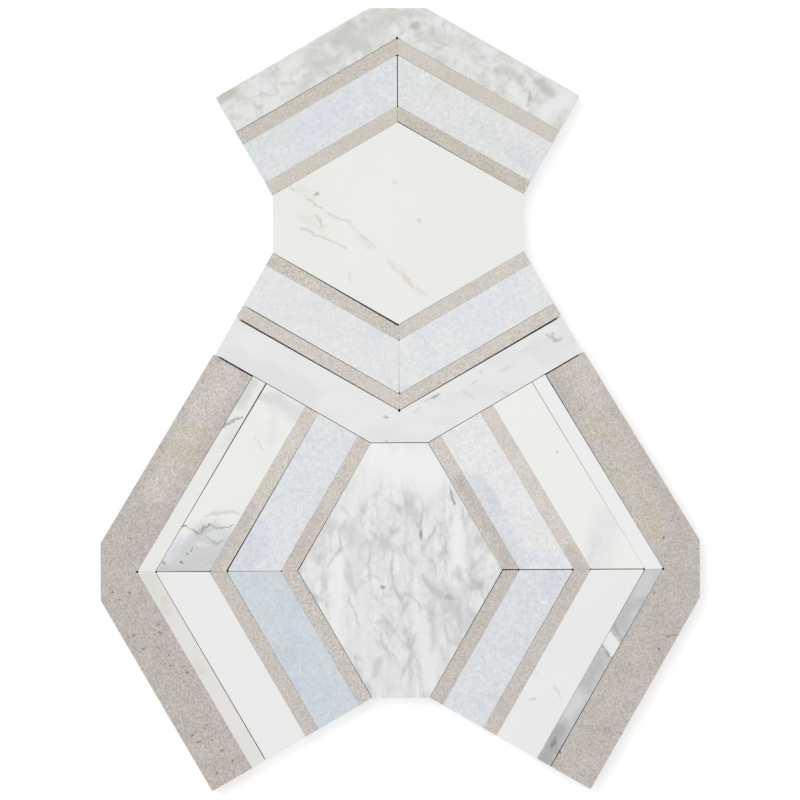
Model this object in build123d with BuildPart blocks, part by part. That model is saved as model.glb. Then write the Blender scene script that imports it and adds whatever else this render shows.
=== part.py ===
"""A mosaic sheet of sawn stone on a mesh back, in millimetres.

Two long hexagons lie at right angles. The upper one has its flats at the left and right, the lower one at
the top and bottom. Each slanted side of a hexagon carries courses of mitred strips, and a one-piece chevron
closes each pair of sides. +Y is up the sheet, +Z is out of its face, and the back lies on Z = 0.
"""

import os
from itertools import accumulate
from math import cos, radians, sin, tan
from typing import NamedTuple

from build123d import *

# Thickness and edges
STONE_THICKNESS = 9.5
MESH_THICKNESS = 0.5
MESH_INSET = 2.5  # the mesh stops this far inside the outline of the stones
ARRIS = 0.25  # chamfer round the face of each stone
TIP_FLAT = 0.7  # length rubbed off both sides of a strip's sharp mitred tip
CORNER_RELIEF = 0.6  # radius of the saw relief in a chevron's inner corner

# The hexagons
SLOPE = 30.0  # degrees between a hexagon's slanted sides and the line square to its long axis
HEX_FLAT = 28.7
UPPER_HEX_SIDE = 72.5
LOWER_HEX_SIDE = 73.6

# Courses, each measured square to the hexagon's side from joint to joint
TAUPE_COURSE_UPPER = 7.15
TAUPE_COURSE_SIDE = 7.5
BLUE_COURSE_TOP = 22.2
BLUE_COURSE_WAIST = 23.1
BLUE_COURSE_SIDE = 23.5
WIDE_WHITE_COURSE = 23.4
NARROW_WHITE_COURSE = 7.9
TOP_CHEVRON_COURSE = 20.2
WAIST_CHEVRON_COURSE = 21.0
POINT_COURSE = 23.0

# Joints: the sheet is laid by hand, so many are wedges that stand open at one end and close up at the other
TIGHT = 0.04
HAIR = 0.15
FINE = 0.25
OPEN = 0.45
WIDE = 0.65
GAPING = 0.95
CLOSED = (TIGHT, TIGHT)
WAIST_JOINT = 0.35  # between the waist chevron and the lower half of the sheet
WAIST_OVERHANG = 0.8  # how far the side points stand past the ends of the waist chevron
LEFT_POINT_TRIM = 0.6  # how much the left point stops short of the waist joint
RIGHT_POINT_TRIM = 0.35

COS = cos(radians(SLOPE))
SIN = sin(radians(SLOPE))
TAN = tan(radians(SLOPE))


class Wing(NamedTuple):
    """One of the two arms of a stack: its side of the mitre and its joints, from the hexagon outwards.

    A joint is its width at the mitre and its width at the wing's square end. A wing that has to close up to a
    given width at its end names that width, and a wing whose chevron stops short there names how much.
    """

    side: int
    joints: tuple
    end_width: float | None = None
    chevron_trim: float = 0.0


class Stack(NamedTuple):
    """The courses on two neighbouring sides of a hexagon, with the chevron that closes them.

    A mitre is its width at the strip's inner edge and at its outer edge.
    """

    hex_side: float
    strips: dict
    chevron: str
    chevron_course: float
    mitres: tuple
    wings: dict

    @property
    def lines(self):
        """How far each joint line lies from the hexagon's side, and last the outer edge."""
        return [0.0, *accumulate([*self.strips.values(), self.chevron_course])]


UPPER_STRIPS = ("inner_taupe", "blue", "outer_taupe")
SIDE_STRIPS = ("inner_taupe", "blue", "outer_taupe", "wide_white", "narrow_white")
TOP_COURSES = (TAUPE_COURSE_UPPER, BLUE_COURSE_TOP, TAUPE_COURSE_UPPER)
WAIST_COURSES = (TAUPE_COURSE_UPPER, BLUE_COURSE_WAIST, TAUPE_COURSE_UPPER)
SIDE_COURSES = (
    TAUPE_COURSE_SIDE,
    BLUE_COURSE_SIDE,
    TAUPE_COURSE_SIDE,
    WIDE_WHITE_COURSE,
    NARROW_WHITE_COURSE,
)

# The side courses end along the outer edge of the waist chevron, so together they are as wide as it is long
waist_edge = UPPER_HEX_SIDE + (sum(WAIST_COURSES) + WAIST_CHEVRON_COURSE) * TAN - HEX_FLAT / 2 / COS
WAIST_END = waist_edge + WAIST_OVERHANG

STACKS = {
    "top": Stack(
        UPPER_HEX_SIDE,
        dict(zip(UPPER_STRIPS, TOP_COURSES)),
        "top_chevron",
        TOP_CHEVRON_COURSE,
        ((HAIR, TIGHT), (OPEN, OPEN), CLOSED),
        {
            "left": Wing(1, ((TIGHT, HAIR), CLOSED, CLOSED, (FINE, FINE))),
            "right": Wing(-1, ((OPEN, TIGHT), CLOSED, (HAIR, TIGHT), CLOSED)),
        },
    ),
    "waist": Stack(
        UPPER_HEX_SIDE,
        dict(zip(UPPER_STRIPS, WAIST_COURSES)),
        "waist_chevron",
        WAIST_CHEVRON_COURSE,
        (CLOSED, (TIGHT, HAIR), CLOSED),
        {
            "left": Wing(-1, ((GAPING, HAIR), CLOSED, (HAIR, OPEN), (FINE, GAPING))),
            "right": Wing(1, ((HAIR, TIGHT), CLOSED, (HAIR, HAIR), (FINE, GAPING))),
        },
    ),
    "left": Stack(
        LOWER_HEX_SIDE,
        dict(zip(SIDE_STRIPS, SIDE_COURSES)),
        "left_point",
        POINT_COURSE,
        (CLOSED, (HAIR, FINE), CLOSED, (OPEN, FINE), CLOSED),
        {
            "upper": Wing(
                -1,
                ((OPEN, TIGHT), CLOSED, (WIDE, TIGHT), CLOSED, (HAIR, WIDE), (TIGHT, FINE)),
                WAIST_END,
                LEFT_POINT_TRIM,
            ),
            "lower": Wing(1, ((FINE, FINE), CLOSED, (HAIR, TIGHT), CLOSED, (FINE, OPEN), CLOSED)),
        },
    ),
    "right": Stack(
        LOWER_HEX_SIDE,
        dict(zip(SIDE_STRIPS, SIDE_COURSES)),
        "right_point",
        POINT_COURSE,
        ((WIDE, OPEN), (OPEN, OPEN), CLOSED, (OPEN, OPEN), CLOSED),
        {
            "upper": Wing(
                1,
                ((TIGHT, FINE), CLOSED, CLOSED, CLOSED, (TIGHT, FINE), (TIGHT, OPEN)),
                WAIST_END,
                RIGHT_POINT_TRIM,
            ),
            "lower": Wing(-1, ((OPEN, HAIR), CLOSED, (FINE, TIGHT), CLOSED, (FINE, TIGHT), (HAIR, OPEN))),
        },
    ),
}


def hexagon_reach(hex_side):
    """Distances from a hexagon's centre to its point and to its flat."""
    return HEX_FLAT / 2 + hex_side * SIN, hex_side * COS


def chevron_reach(stack):
    """Distance from a hexagon's centre to the blunt nose of the chevron."""
    point, _ = hexagon_reach(stack.hex_side)
    return point + stack.lines[-1] / COS - HEX_FLAT / 2 * TAN


def wing_edge(stack, wing, offset, offset_at_end, mitre_gap=0.0):
    """Both ends of a wing's line: at the mitre and at the square end, each at an offset from the hexagon's side.

    The stack's plane has its X axis along the mitre, away from the hexagon's centre.
    """
    point, flat = hexagon_reach(stack.hex_side)
    reach = offset_at_end * (wing.end_width or stack.lines[-1]) / stack.lines[-1]
    apex = Vector(point + offset / COS, 0)
    end = Vector(HEX_FLAT / 2 + reach * COS, wing.side * (flat + reach * SIN))
    at_mitre = apex + (end - apex) * (mitre_gap / 2 / abs(end.Y))
    return at_mitre, end


def joint_side(stack, wing, joint, share, mitre_gap=0.0):
    """Both ends of one side of a wing's joint, which stands off the joint's line by a share of its width."""
    at_mitre, at_end = (stack.lines[joint] + share * width for width in wing.joints[joint])
    return wing_edge(stack, wing, at_mitre, at_end, mitre_gap)


def outer_edge(stack, wing):
    """Both ends of a wing's outer edge, past all its courses."""
    return wing_edge(stack, wing, stack.lines[-1], stack.lines[-1])


def strip_outline(stack, wing, course):
    """Corners of a mitred strip: square at the wing's end, with its sharp tip rubbed flat."""
    inner_share = 1.0 if course == 0 else 0.5  # the joint at the hexagon is cut from the strip alone
    inner_gap, outer_gap = stack.mitres[course]
    inner_mitre, inner_end = joint_side(stack, wing, course, inner_share, inner_gap)
    tip, outer_end = joint_side(stack, wing, course + 1, -0.5, outer_gap)
    tip_on_mitre = tip + (inner_mitre - tip).normalized() * TIP_FLAT
    tip_on_edge = tip + (outer_end - tip).normalized() * TIP_FLAT
    return [inner_mitre, tip_on_mitre, tip_on_edge, outer_end, inner_end]


def chevron_outline(stack):
    """Corners of a one-piece chevron, first its inner corner, then round by its blunt nose."""
    inner_corners = []
    arms = []
    for wing in stack.wings.values():
        inner_corner, inner_end = joint_side(stack, wing, len(stack.strips), 0.5)
        outer_end = outer_edge(stack, wing)[1]
        trim = (inner_corner - inner_end).normalized() * wing.chevron_trim
        nose = Vector(chevron_reach(stack), wing.side * HEX_FLAT / 2)
        inner_corners.append(inner_corner)
        arms.append([inner_end + trim, outer_end + trim, nose])
    first, second = arms
    return [sum(inner_corners, Vector()) / 2, *first, *reversed(second)]


def hexagon_outline(hex_side):
    """Corners of a long hexagon with its points on the X axis of its plane."""
    point, flat = hexagon_reach(hex_side)
    half = HEX_FLAT / 2
    return [(point, 0), (half, flat), (-half, flat), (-point, 0), (-half, -flat), (half, -flat)]


def sawn_stone(plane, outline, relief_at=None):
    """A stone sawn square to its face from an outline, with an eased arris round the face."""
    with BuildPart() as stone:
        with BuildSketch(plane):
            with BuildLine():
                Polyline(*outline, close=True)
            make_face()
            if relief_at:
                with Locations(relief_at):
                    Circle(CORNER_RELIEF, mode=Mode.SUBTRACT)
        extrude(amount=STONE_THICKNESS)
        chamfer(stone.faces().sort_by(Axis.Z)[-1].edges(), length=ARRIS)
    return stone


def write_node(name, builder):
    """Label a finished piece and write it to its own file."""
    builder.part.label = name
    export_step(builder.part, f"parts/{name}.step")


# Heights up the sheet: its box is centred on the origin, from the top nose to the feet of the side courses
_, lower_flat = hexagon_reach(LOWER_HEX_SIDE)
top_nose = chevron_reach(STACKS["top"])
waist_drop = chevron_reach(STACKS["waist"]) + WAIST_JOINT + lower_flat  # between the two hexagons' centres
foot = lower_flat + STACKS["left"].lines[-1] * SIN
upper_centre = (top_nose + waist_drop + foot) / 2 - top_nose
lower_centre = upper_centre - waist_drop


def stack_plane(height, direction):
    """A plane on the mesh at a hexagon's centre, with its X axis along a stack's mitre."""
    return Plane(origin=(0, height, MESH_THICKNESS), x_dir=direction, z_dir=(0, 0, 1))


PLANES = {
    "top": stack_plane(upper_centre, (0, 1, 0)),
    "waist": stack_plane(upper_centre, (0, -1, 0)),
    "left": stack_plane(lower_centre, (-1, 0, 0)),
    "right": stack_plane(lower_centre, (1, 0, 0)),
}

os.makedirs("parts", exist_ok=True)

# The two hexagons
write_node("upper_hexagon", sawn_stone(PLANES["top"], hexagon_outline(UPPER_HEX_SIDE)))
write_node("lower_hexagon", sawn_stone(PLANES["right"], hexagon_outline(LOWER_HEX_SIDE)))

# Mitred strips and the one-piece chevrons that close them
for stack_name, stack in STACKS.items():
    for wing_name, wing in stack.wings.items():
        for course, strip in enumerate(stack.strips):
            outline = strip_outline(stack, wing, course)
            write_node(f"{stack_name}_{wing_name}_{strip}", sawn_stone(PLANES[stack_name], outline))
    corners = chevron_outline(stack)
    write_node(stack.chevron, sawn_stone(PLANES[stack_name], corners, relief_at=corners[0]))


def wing_corners(stack_name, wing_name):
    """Outer corners of a wing on the sheet: at the hexagon, at its square end and at the chevron's nose."""
    stack = STACKS[stack_name]
    wing = stack.wings[wing_name]
    _, flat = hexagon_reach(stack.hex_side)
    root = Vector(HEX_FLAT / 2, wing.side * flat)
    _, end = outer_edge(stack, wing)
    nose = Vector(chevron_reach(stack), wing.side * HEX_FLAT / 2)
    return [PLANES[stack_name].from_local_coords(corner) for corner in (root, end, nose)]


# The mesh that the stones are glued to: one sheet under all of them, walked round from the upper left bay
sheet_corners = [
    *wing_corners("top", "left"),
    *reversed(wing_corners("top", "right")),
    *wing_corners("waist", "right")[:1],
    *wing_corners("right", "upper")[1:],
    *reversed(wing_corners("right", "lower")),
    *wing_corners("left", "lower"),
    *reversed(wing_corners("left", "upper")[1:]),
    *wing_corners("waist", "left")[:1],
]

with BuildPart() as mesh_backing:
    with BuildSketch(Plane.XY):
        with BuildLine():
            Polyline(*[(corner.X, corner.Y) for corner in sheet_corners], close=True)
        make_face()
        offset(amount=-MESH_INSET, kind=Kind.INTERSECTION)
    extrude(amount=MESH_THICKNESS)
write_node("mesh_backing", mesh_backing)
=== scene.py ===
"""Looks of a hand-laid stone mosaic sheet: sawn stones with chipped edges, finishes and a woven back."""
import math
import zlib
from typing import NamedTuple

import bmesh
import bpy
import numpy as np
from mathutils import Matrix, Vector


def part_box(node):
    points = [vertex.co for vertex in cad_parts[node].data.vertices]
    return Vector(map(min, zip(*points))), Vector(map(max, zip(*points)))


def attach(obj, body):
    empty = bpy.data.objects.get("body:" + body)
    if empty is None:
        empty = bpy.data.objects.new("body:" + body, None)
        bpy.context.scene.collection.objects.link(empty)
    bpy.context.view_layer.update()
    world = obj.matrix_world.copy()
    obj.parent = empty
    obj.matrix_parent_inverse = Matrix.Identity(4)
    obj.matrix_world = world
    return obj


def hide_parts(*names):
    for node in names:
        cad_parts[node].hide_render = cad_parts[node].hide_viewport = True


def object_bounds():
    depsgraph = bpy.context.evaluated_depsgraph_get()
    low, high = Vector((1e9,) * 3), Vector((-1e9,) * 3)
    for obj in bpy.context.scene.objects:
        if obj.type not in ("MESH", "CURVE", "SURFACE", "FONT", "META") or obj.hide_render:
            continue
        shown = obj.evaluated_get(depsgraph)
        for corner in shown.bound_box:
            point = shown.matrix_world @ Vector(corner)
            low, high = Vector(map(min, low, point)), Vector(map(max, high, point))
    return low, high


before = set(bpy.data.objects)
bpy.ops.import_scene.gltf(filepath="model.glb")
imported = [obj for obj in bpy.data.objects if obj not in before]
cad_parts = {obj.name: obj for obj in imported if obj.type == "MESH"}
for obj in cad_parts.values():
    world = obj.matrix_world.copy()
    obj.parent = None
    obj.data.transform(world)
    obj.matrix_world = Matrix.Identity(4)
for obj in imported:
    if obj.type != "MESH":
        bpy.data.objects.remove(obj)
CAD_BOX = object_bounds()

MM = 0.001

# The photograph: 800 pixels square, taken from straight above, with the sheet turned a little in it
FRAME_PIXELS = 800
MM_PER_PIXEL = 0.5008
ORIGIN_PIXEL = (399.22, 399.14)
SHEET_TURN = math.radians(0.328)

# Camera and light
LENS = 150.0
SENSOR = 36.0
SKY_STRENGTH = 0.81
KEY_WATTS = 41.0
KEY_SIZE = 2.6
KEY_PLACE = (-1.8, 1.6, 3.2)
FLOOR_HALF = 6.0
FLOOR_ALBEDO = 0.86
FLOOR_LIFT = 0.3
PATCH_RISE = 0.005

# Sawn stones, in millimetres
RING_STEP = 0.6
EDGE_BEVEL = 0.03
EDGE_RAGGED = 0.05
EDGE_CHIP = 0.18
CHIP_SHARE = 0.06
RAGGED_SPACING = 1.3
CHIP_SPACING = 4.0
CORNER_CALM = 1.6

# Woven back, in millimetres
YARN_PITCH = 5.0
YARN_WIDTH = 1.15
YARN_THICKNESS = 0.22
YARN_WAVE = 0.13
LINE_NUDGE = 0.0001

# The yarn's six-sided section, in shares of its width and thickness, and its colours
YARN_SECTION = ((-0.5, 0.0), (-0.3, -0.5), (0.3, -0.5), (0.5, 0.0), (0.3, 0.5), (-0.3, 0.5))
YARN_TONE = (226, 226, 221)
COAT_TONE = (208, 208, 202)

# How close corners count as one, in millimetres, and how far faces may turn and count as one flat face
WELD = 0.001
FLAT_TURN = math.radians(0.5)

# Shared stone effects: depths in millimetres, scales for each millimetre
STREAK_FADE = (0.4, 0.66)
CELL_WEIGHT = 0.65
SAWN_DEPTH = (0.15, 0.6)
SAW_SLANT = (0.5, 0.5, 2.6)
HONE_DRIFT_SCALE = 0.07
HONE_MARK_SCALE = 1.7
SAWN_ROUGHER = 0.3
BUMP_MM = 0.05


def sheet_mm(pixel):
    """A pixel of the photograph as (x, y, 0) on the sheet in millimetres: shifted, scaled and turned back."""
    x = (pixel[0] - ORIGIN_PIXEL[0]) * MM_PER_PIXEL
    y = (ORIGIN_PIXEL[1] - pixel[1]) * MM_PER_PIXEL
    c, s = math.cos(SHEET_TURN), math.sin(SHEET_TURN)
    return (x * c + y * s, y * c - x * s, 0.0)


def linear(tone):
    """A colour written as 0 to 255 screen values, as linear RGBA."""
    screen = np.asarray(tone, float) / 255
    light = np.where(screen <= 0.04045, screen / 12.92, ((screen + 0.055) / 1.055) ** 2.4)
    return (*light.tolist(), 1.0)


# Node trees


class Graph:
    """A node tree written as expressions: most calls add a node and give back its output or outputs."""

    def __init__(self, tree):
        self.tree = tree

    def feed(self, socket, value):
        """Links an output socket to an input, or sets the input's own value."""
        if isinstance(value, bpy.types.NodeSocket):
            self.tree.links.new(value, socket)
        else:
            socket.default_value = value

    def node(self, kind, inputs=(), **settings):
        """Adds a node with its settings, feeds its inputs and gives back the node."""
        made = self.tree.nodes.new(kind)
        for name, value in settings.items():
            setattr(made, name, value)
        for key, value in dict(inputs).items():
            self.feed(made.inputs[key], value)
        return made

    def math(self, operation, a, b=0.0, clamp=False):
        return self.node("ShaderNodeMath", {0: a, 1: b}, operation=operation, use_clamp=clamp).outputs[0]

    def vector(self, operation, a, b=(0.0, 0.0, 0.0)):
        made = self.node("ShaderNodeVectorMath", {0: a, 1: b}, operation=operation)
        return made.outputs["Value" if operation in ("DOT_PRODUCT", "LENGTH") else "Vector"]

    def scale(self, a, factor):
        return self.node("ShaderNodeVectorMath", {0: a, "Scale": factor}, operation="SCALE").outputs["Vector"]

    def ease(self, value, low, high, start=0.0, end=1.0):
        """A smooth step of value from low to high, put out between start and end."""
        inputs = {"Value": value, "From Min": low, "From Max": high, "To Min": start, "To Max": end}
        return self.node("ShaderNodeMapRange", inputs, interpolation_type="SMOOTHSTEP").outputs[0]

    def seeded(self, vector, seed):
        """The vector moved by the seed along all three axes, to reach another part of a texture."""
        shift = seed if isinstance(seed, bpy.types.NodeSocket) else (seed, seed, seed)
        return self.vector("ADD", vector, shift)

    def noise(self, vector, scale, detail=2.0, roughness=0.5, seed=0.0):
        """Fractal noise; outputs 0 is its value about one half and 1 its colour."""
        place = self.seeded(vector, seed)
        inputs = {"Vector": place, "Scale": scale, "Detail": detail, "Roughness": roughness}
        return self.node("ShaderNodeTexNoise", inputs).outputs

    def cells(self, vector, scale, seed=0.0, feature="F1"):
        """Voronoi cells; outputs give the distance to the nearest point, or border, and the cell's colour."""
        inputs = {"Vector": self.seeded(vector, seed), "Scale": scale}
        return self.node("ShaderNodeTexVoronoi", inputs, feature=feature).outputs

    def mix(self, share, a, b, blend="MIX"):
        made = self.node("ShaderNodeMix", data_type="RGBA", blend_type=blend)
        sockets = {socket.identifier: socket for socket in made.inputs}
        self.feed(sockets["Factor_Float"], share)
        self.feed(sockets["A_Color"], a)
        self.feed(sockets["B_Color"], b)
        return next(socket for socket in made.outputs if socket.identifier == "Result_Color")

    def group(self, tree, **inputs):
        """Places a node group; input names use _ for the space in the socket's name."""
        made = self.node("ShaderNodeGroup", node_tree=tree)
        for name, value in inputs.items():
            self.feed(made.inputs[name.replace("_", " ")], value)
        return made.outputs


def blank_graph(owner):
    """The emptied node tree of a material or a world, as a graph."""
    owner.use_nodes = True
    owner.node_tree.nodes.clear()
    return Graph(owner.node_tree)


SOCKETS = {"value": "NodeSocketFloat", "vector": "NodeSocketVector"}


def shader_group(name, takes, gives):
    """A new shader node group with named sockets; returns its graph, its inputs and its output node."""
    tree = bpy.data.node_groups.new(name, "ShaderNodeTree")
    for label, kind in takes.items():
        tree.interface.new_socket(label, in_out="INPUT", socket_type=SOCKETS[kind])
    for label, kind in gives.items():
        tree.interface.new_socket(label, in_out="OUTPUT", socket_type=SOCKETS[kind])
    graph = Graph(tree)
    return graph, graph.node("NodeGroupInput").outputs, graph.node("NodeGroupOutput").inputs


def wavy_group():
    """Coordinates pushed about by smooth noise read at Flow, so that straight strokes wander as veins do."""
    graph, takes, gives = shader_group(
        "wavy place",
        {"Vector": "vector", "Flow": "vector", "Scale": "value", "Amount": "value", "Seed": "value"},
        {"Vector": "vector"},
    )
    push = graph.noise(takes["Flow"], takes["Scale"], detail=4.0, roughness=0.65, seed=takes["Seed"])[1]
    push = graph.scale(graph.vector("SUBTRACT", push, (0.5, 0.5, 0.5)), takes["Amount"])
    graph.feed(gives["Vector"], graph.vector("ADD", takes["Vector"], push))
    return graph.tree


def stroke_group():
    """One stroke: 1 on a parabola from Start to End that stands off their chord by Bend at its middle, easing
    to 0 at a half width that runs from Start Width to End Width and narrows by the share Taper at both ends.
    The distance is taken in plan, from the point as far along the chord, so a stroke goes down through the
    stone."""
    graph, takes, gives = shader_group(
        "stroke",
        {
            "Vector": "vector", "Start": "vector", "End": "vector", "Bend": "vector",
            "Start Width": "value", "End Width": "value", "Taper": "value",
        },
        {"Mask": "value"},
    )
    flat = graph.vector("MULTIPLY", takes["Vector"], (1.0, 1.0, 0.0))
    way = graph.vector("SUBTRACT", takes["End"], takes["Start"])
    reach = graph.vector("SUBTRACT", flat, takes["Start"])
    span = graph.vector("DOT_PRODUCT", way, way)
    along = graph.math("DIVIDE", graph.vector("DOT_PRODUCT", reach, way), span, clamp=True)
    bow = graph.math("MULTIPLY", graph.math("MULTIPLY", along, 4.0), graph.math("SUBTRACT", 1.0, along))
    near = graph.vector("ADD", graph.scale(way, along), graph.scale(takes["Bend"], bow))
    gap = graph.vector("LENGTH", graph.vector("SUBTRACT", reach, near))
    widen = graph.math("SUBTRACT", takes["End Width"], takes["Start Width"])
    width = graph.math("ADD", takes["Start Width"], graph.math("MULTIPLY", widen, along))
    narrow = graph.math("MULTIPLY", takes["Taper"], graph.math("SUBTRACT", 1.0, bow))
    width = graph.math("MULTIPLY", width, graph.math("SUBTRACT", 1.0, narrow))
    graph.feed(gives["Mask"], graph.ease(gap, 0.0, width, 1.0, 0.0))
    return graph.tree


def clouds_group():
    """Soft patches: fractal noise eased from 0 at Low to 1 at High."""
    graph, takes, gives = shader_group(
        "stone clouds",
        {"Vector": "vector", "Scale": "value", "Low": "value", "High": "value", "Seed": "value"},
        {"Mask": "value"},
    )
    noise = graph.noise(takes["Vector"], takes["Scale"], detail=4.0, roughness=0.58, seed=takes["Seed"])[0]
    graph.feed(gives["Mask"], graph.ease(noise, takes["Low"], takes["High"]))
    return graph.tree


def streaks_group():
    """Smoky streaks: 1 on the borders of cells, easing to 0 at Width from them, faded out in patches."""
    graph, takes, gives = shader_group(
        "smoky streaks",
        {"Vector": "vector", "Scale": "value", "Width": "value", "Seed": "value"},
        {"Mask": "value"},
    )
    gap = graph.cells(takes["Vector"], takes["Scale"], takes["Seed"], "DISTANCE_TO_EDGE")["Distance"]
    border = graph.ease(gap, 0.0, takes["Width"], 1.0, 0.0)
    fade = graph.noise(takes["Vector"], takes["Scale"], detail=4.0, roughness=0.6, seed=takes["Seed"])[0]
    graph.feed(gives["Mask"], graph.math("MULTIPLY", border, graph.ease(fade, *STREAK_FADE)))
    return graph.tree


def specks_group():
    """Scattered specks: in a Share of the cells, a spot of the given Radius about the cell's point."""
    graph, takes, gives = shader_group(
        "specks",
        {"Vector": "vector", "Scale": "value", "Radius": "value", "Share": "value", "Seed": "value"},
        {"Mask": "value"},
    )
    cells = graph.cells(takes["Vector"], takes["Scale"], takes["Seed"])
    spot = graph.ease(cells["Distance"], 0.0, takes["Radius"], 1.0, 0.0)
    draw = graph.node("ShaderNodeSeparateColor", {"Color": cells["Color"]}).outputs[0]
    graph.feed(gives["Mask"], graph.math("MULTIPLY", spot, graph.math("LESS_THAN", draw, takes["Share"])))
    return graph.tree


def grain_group():
    """Fine crystal grain about one half: a random shade for each cell, softened by noise of the same size."""
    graph, takes, gives = shader_group(
        "crystal grain",
        {"Vector": "vector", "Scale": "value", "Seed": "value"},
        {"Value": "value"},
    )
    cells = graph.cells(takes["Vector"], takes["Scale"], takes["Seed"])
    shade = graph.node("ShaderNodeSeparateColor", {"Color": cells["Color"]}).outputs[1]
    noise = graph.noise(takes["Vector"], takes["Scale"], seed=takes["Seed"])[0]
    cell_part = graph.math("MULTIPLY", shade, CELL_WEIGHT)
    noise_part = graph.math("MULTIPLY", noise, 1 - CELL_WEIGHT)
    graph.feed(gives["Value"], graph.math("ADD", cell_part, noise_part))
    return graph.tree


def sawn_group():
    """Where the stone shows its saw: 1 below the face's edge, with the Height of slanted saw lines there."""
    graph, takes, gives = shader_group(
        "sawn wall",
        {"Vector": "vector", "Face": "value"},
        {"Mask": "value", "Height": "value"},
    )
    z = graph.node("ShaderNodeSeparateXYZ", {"Vector": takes["Vector"]}).outputs["Z"]
    depth = graph.math("SUBTRACT", takes["Face"], z)
    mask = graph.ease(depth, *SAWN_DEPTH)
    slant = graph.vector("MULTIPLY", takes["Vector"], SAW_SLANT)
    lines = graph.noise(slant, 1.0, detail=2.0)[0]
    graph.feed(gives["Mask"], mask)
    graph.feed(gives["Height"], graph.math("MULTIPLY", lines, mask))
    return graph.tree


def honed_group():
    """The honed face: Roughness that drifts by Spread about Level and rises where the stone is Sawn, and the
    Height of fine honing marks."""
    graph, takes, gives = shader_group(
        "honed face",
        {"Vector": "vector", "Level": "value", "Spread": "value", "Sawn": "value"},
        {"Roughness": "value", "Height": "value"},
    )
    drift = graph.noise(takes["Vector"], HONE_DRIFT_SCALE, detail=3.0)[0]
    fine = graph.noise(takes["Vector"], HONE_MARK_SCALE, detail=3.0, roughness=0.7)[0]
    swing = graph.math("SUBTRACT", graph.math("MULTIPLY", graph.math("ADD", drift, fine), 0.5), 0.5)
    rough = graph.math("ADD", takes["Level"], graph.math("MULTIPLY", swing, takes["Spread"]))
    rough = graph.math("ADD", rough, graph.math("MULTIPLY", takes["Sawn"], SAWN_ROUGHER))
    graph.feed(gives["Roughness"], graph.math("MINIMUM", rough, 1.0))
    graph.feed(gives["Height"], fine)
    return graph.tree


WAVY = wavy_group()
STROKE = stroke_group()
CLOUDS = clouds_group()
STREAKS = streaks_group()
SPECKS = specks_group()
GRAIN = grain_group()
SAWN = sawn_group()
HONED = honed_group()


# Stone finishes


class Mark(NamedTuple):
    """One patch, vein or spot seen in the photograph: its line in photograph pixels, its half width in
    millimetres, one or one for each end, its colour in screen values, how strongly it shows and how far in
    from its rim it fades. A line is one point, two ends, or ends with the middle of each bend between."""

    line: tuple
    widths: tuple
    tone: tuple
    strength: float
    fade: float = 1.0


class Layer(NamedTuple):
    """One layer of a stone's own pattern: its colour in screen values, the share of it at the most, the
    pattern's scale, where it eases in (for streaks, how far from a cell's border it reaches) and how it is
    stretched."""

    tone: tuple
    share: float
    scale: float
    span: tuple = (0.4, 0.7)
    stretch: tuple = (1.0, 1.0, 1.0)


class Finish(NamedTuple):
    """What sets one stone apart from others of its family."""

    tone: tuple
    clouds: tuple = ()
    streaks: tuple = ()
    marks: tuple = ()
    grain: float = 0.02
    specks: float = 0.5
    flow: tuple = (1.0, 1.0, 1.0)


# Marks: the scale and reach of their waves, the scale and depth of their wear, how much a vein narrows at its
# ends, the mask that shows in full, and the half width in millimetres from which a mark is a cloud
VEIN_WAVES = (0.22, 5.5)
CLOUD_WAVES = (0.12, 5.0)
VEIN_WEAR = (0.6, 1.0)
CLOUD_WEAR = (0.17, 0.9)
VEIN_TAPER = 0.6
FULL_MASK = 1.05
CLOUD_WIDTH = 4.0

# Steps between the seeds of a stone's layers
CLOUD_SEED = 31
WAVE_SEED = 7
STREAK_SEED = 23
MOTTLE_SEED = 3

# The sawn wall below the face, and how far saw lines stand out and pits go in beside the honing marks
FACE_MM = CAD_BOX[1].z / MM
WALL_TONE = (205, 203, 198)
WALL_SHARE = 0.25
SAW_HEIGHT = 3.0
PIT_HEIGHT = 2.0
STONE_SPECULAR = 0.35


def bent_strokes(line):
    """A mark's line as strokes on the sheet: start, end and how far the middle stands off the chord. With an
    even count of points the last stroke is straight."""
    points = np.array([sheet_mm(pixel) for pixel in line])
    if len(points) % 2 == 0:
        points = np.insert(points, len(points) - 1, points[-2:].mean(axis=0), axis=0)
    if len(points) == 1:
        points = points.repeat(3, axis=0)
    starts, middles, ends = points[:-2:2], points[1:-1:2], points[2::2]
    bends = middles - (starts + ends) / 2
    return list(zip(starts.tolist(), ends.tolist(), bends.tolist()))


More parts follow.
